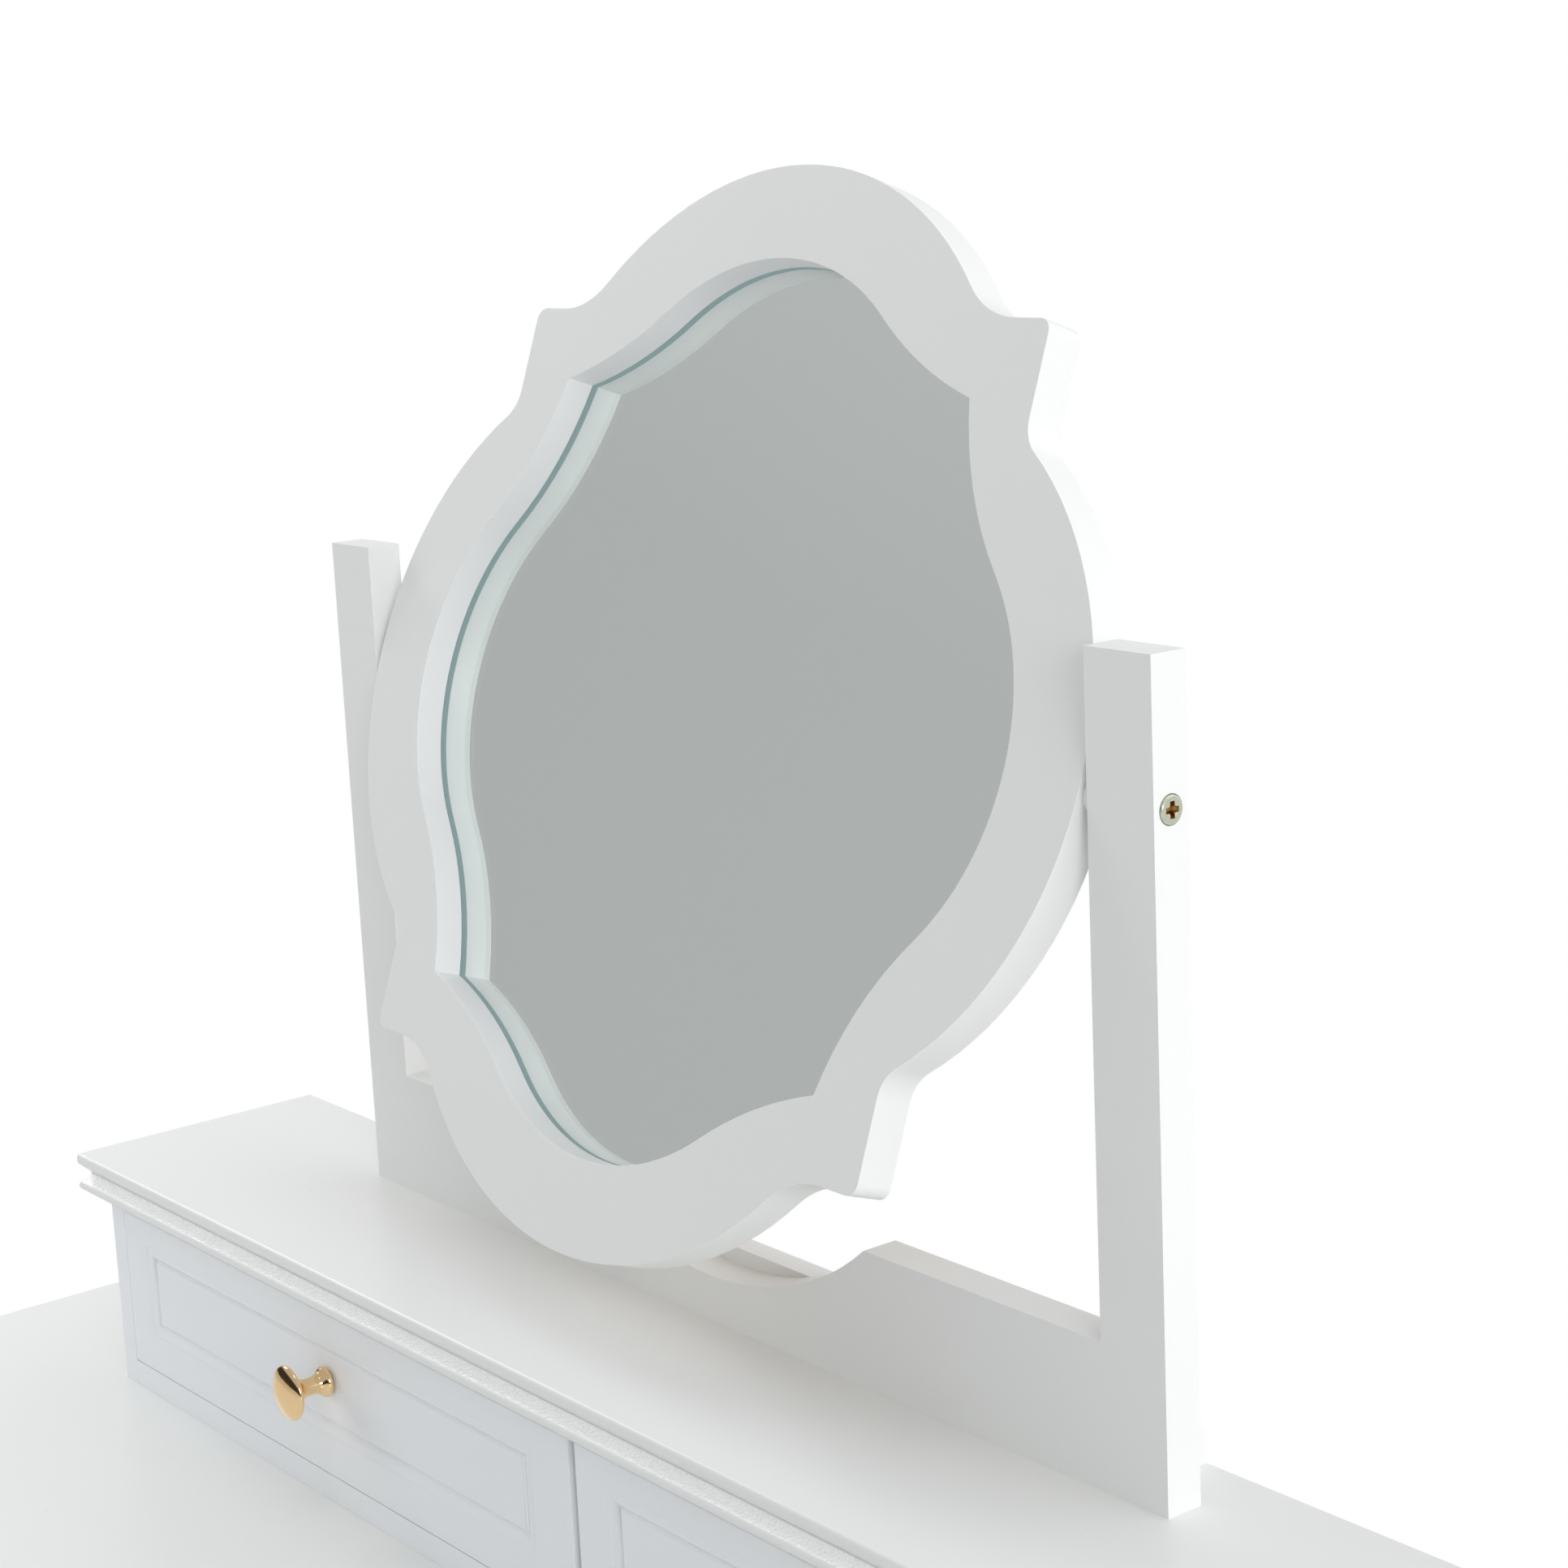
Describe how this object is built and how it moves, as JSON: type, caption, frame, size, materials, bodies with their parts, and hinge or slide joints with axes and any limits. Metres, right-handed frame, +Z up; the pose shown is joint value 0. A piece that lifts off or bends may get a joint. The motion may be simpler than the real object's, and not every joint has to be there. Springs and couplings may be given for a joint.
{
  "type": "dressing table",
  "caption": "White dressing table with tapered legs, drawers with gold knobs, and a raised drawer box that carries a scalloped swing mirror between two posts.",
  "frame": {"origin": "on the floor, at the middle of the object's box in X and Y, with the mirror at rest", "axes": "+Z up, the front with the drawers faces -Y, +X to the right when seen from the front"},
  "size_m": [1.013, 0.4522, 1.3219],
  "materials": {
    "white_paint": "satin white paint on board",
    "cool_white_paint": "satin paint in a slightly cooler white",
    "bare_wood": "plain unpainted board",
    "hardboard": "smooth brown hardboard",
    "mirror_glass": "silvered float glass",
    "gold": "polished gold plate",
    "yellow_zinc": "yellow passivated zinc",
    "zinc": "bright zinc",
    "nylon": "plain moulded nylon"
  },
  "bodies": {
    "table": {"table_top": "white_paint", "table_cornice": "white_paint", "leg_front_left": "white_paint", "leg_front_right": "white_paint", "leg_back_left": "white_paint", "leg_back_right": "white_paint", "table_side_left": "cool_white_paint", "table_side_right": "cool_white_paint", "table_back": "white_paint", "table_front_rail": "cool_white_paint", "table_divider": "white_paint", "table_runners": "bare_wood", "box_top": "white_paint", "box_cornice": "white_paint", "box_side_left": "cool_white_paint", "box_side_right": "cool_white_paint", "box_floor": "cool_white_paint", "box_back": "white_paint", "box_divider": "white_paint", "mirror_stand": "white_paint", "stand_batten": "white_paint", "stand_screws": "zinc"},
    "mirror": {"mirror_frame": "white_paint", "mirror_glass": "mirror_glass", "mirror_back": "hardboard", "mirror_back_screws": "zinc", "pivot_inserts": "yellow_zinc", "pivot_spacers": "nylon", "pivot_screws": "yellow_zinc"},
    "box_drawer_left": {"box_drawer_left_front": "cool_white_paint", "box_drawer_left_side_left": "bare_wood", "box_drawer_left_side_right": "bare_wood", "box_drawer_left_back": "bare_wood", "box_drawer_left_bottom": "hardboard", "box_drawer_left_knob": "gold", "box_drawer_left_knob_screw": "zinc"},
    "box_drawer_right": {"box_drawer_right_front": "cool_white_paint", "box_drawer_right_side_left": "bare_wood", "box_drawer_right_side_right": "bare_wood", "box_drawer_right_back": "bare_wood", "box_drawer_right_bottom": "hardboard", "box_drawer_right_knob": "gold", "box_drawer_right_knob_screw": "zinc"},
    "table_drawer_left": {"table_drawer_left_front": "cool_white_paint", "table_drawer_left_side_left": "bare_wood", "table_drawer_left_side_right": "bare_wood", "table_drawer_left_back": "bare_wood", "table_drawer_left_bottom": "hardboard", "table_drawer_left_knob": "gold", "table_drawer_left_knob_screw": "zinc"},
    "table_drawer_right": {"table_drawer_right_front": "cool_white_paint", "table_drawer_right_side_left": "bare_wood", "table_drawer_right_side_right": "bare_wood", "table_drawer_right_back": "bare_wood", "table_drawer_right_bottom": "hardboard", "table_drawer_right_knob": "gold", "table_drawer_right_knob_screw": "zinc"}
  },
  "joints": [
    {"name": "mirror_tilt", "type": "hinge", "parent": "table", "child": "mirror", "pos_m": [0, 0.14761, 1.117], "axis": [1, 0, 0], "range_deg": [-60, 60]},
    {"name": "box_drawer_left_slide", "type": "slide", "parent": "table", "child": "box_drawer_left", "axis": [0, -1, 0], "range_m": [0, 0.07]},
    {"name": "box_drawer_right_slide", "type": "slide", "parent": "table", "child": "box_drawer_right", "axis": [0, -1, 0], "range_m": [0, 0.07]},
    {"name": "table_drawer_left_slide", "type": "slide", "parent": "table", "child": "table_drawer_left", "axis": [0, -1, 0], "range_m": [0, 0.22]},
    {"name": "table_drawer_right_slide", "type": "slide", "parent": "table", "child": "table_drawer_right", "axis": [0, -1, 0], "range_m": [0, 0.22]}
  ]
}
